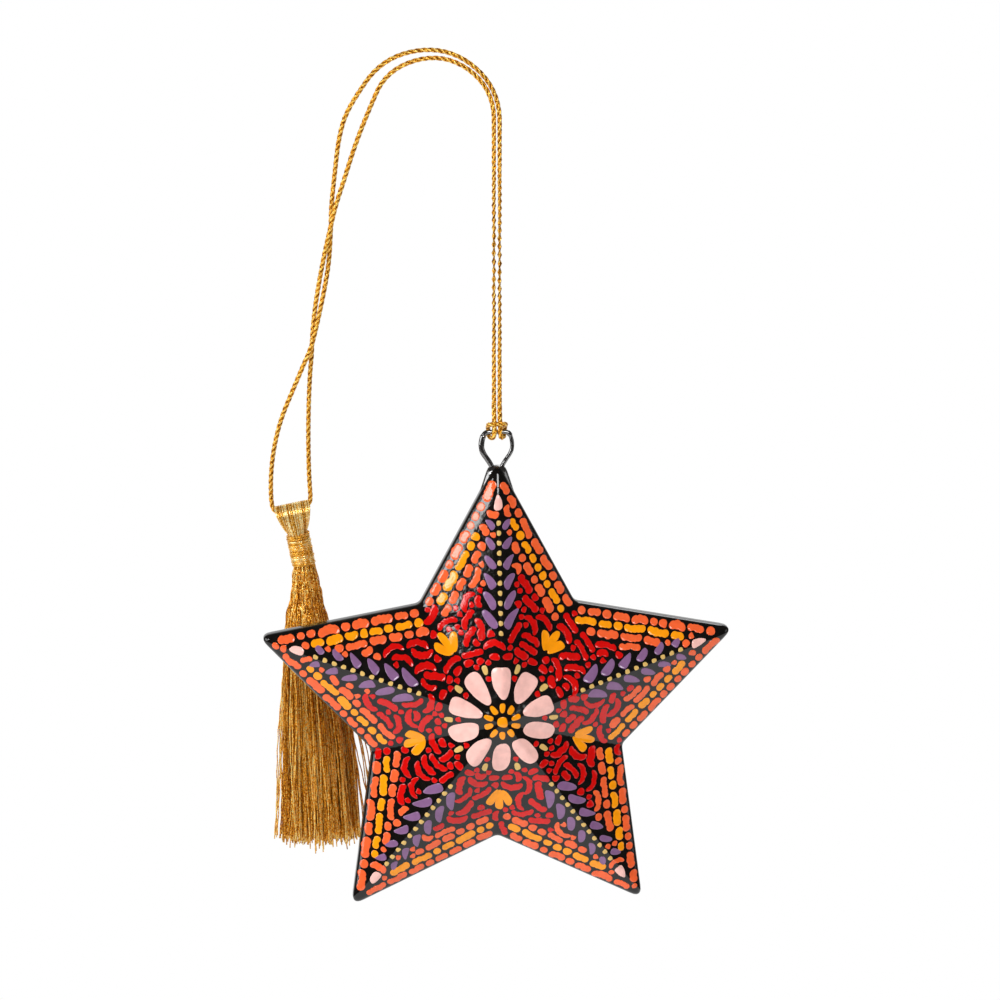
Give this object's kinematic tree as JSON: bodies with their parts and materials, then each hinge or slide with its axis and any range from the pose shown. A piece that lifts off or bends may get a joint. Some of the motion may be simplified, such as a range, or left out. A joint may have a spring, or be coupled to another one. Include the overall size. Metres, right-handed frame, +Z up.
{
  "type": "hanging star ornament",
  "caption": "Faceted lacquered star that hangs by a wire eye on a doubled gold cord, with a gold thread tassel at the cord's other end",
  "frame": {"origin": "the hang point: the underside of the inner strand at the top of the cord's bend, where a hook, twig or finger holds it", "axes": "+Z up, the star's painted front faces -Y, +X to the right seen from the front; the tassel hangs behind the star's left arm, at -X and +Y"},
  "size_m": [0.0751, 0.0319, 0.1383],
  "materials": {
    "black_lacquer": "glossy black lacquer over moulded paper, painted with small coloured dabs",
    "paper_pulp": "rough dried paper pulp",
    "black_wire": "black lacquered wire",
    "gold_cord": "twisted bright gold metallic cord",
    "gold_thread": "fine antique gold metallic thread",
    "gold_binding": "satin gold metallic thread, wound"
  },
  "bodies": {
    "cord": {"cord_outer_strand": "gold_cord", "cord_inner_strand": "gold_cord", "cord_end_knot": "gold_cord"},
    "hitch": {"cord_hitch": "gold_cord"},
    "star": {"star_front_shell": "black_lacquer", "star_back_shell": "black_lacquer", "eye_anchor_plug": "paper_pulp", "wire_eye": "black_wire"},
    "tassel": {"tassel_head": "gold_thread", "tassel_neck_binding": "gold_binding", "tassel_skirt": "gold_thread"}
  },
  "joints": [
    {"name": "star_spin", "type": "hinge", "parent": "cord", "child": "hitch", "pos_m": [0.01085, 0, -0.05455], "axis": [0, 0, 1], "range_deg": [-4, 90]},
    {"name": "star_swing", "type": "hinge", "parent": "hitch", "child": "star", "pos_m": [0.01085, 0, -0.05915], "axis": [1, 0, 0], "range_deg": [-80, 4]},
    {"name": "tassel_swing", "type": "hinge", "parent": "cord", "child": "tassel", "pos_m": [-0.02115, 0.017, -0.0746], "axis": [0.9816, 0, 0.1908], "range_deg": [-3, 70]}
  ]
}
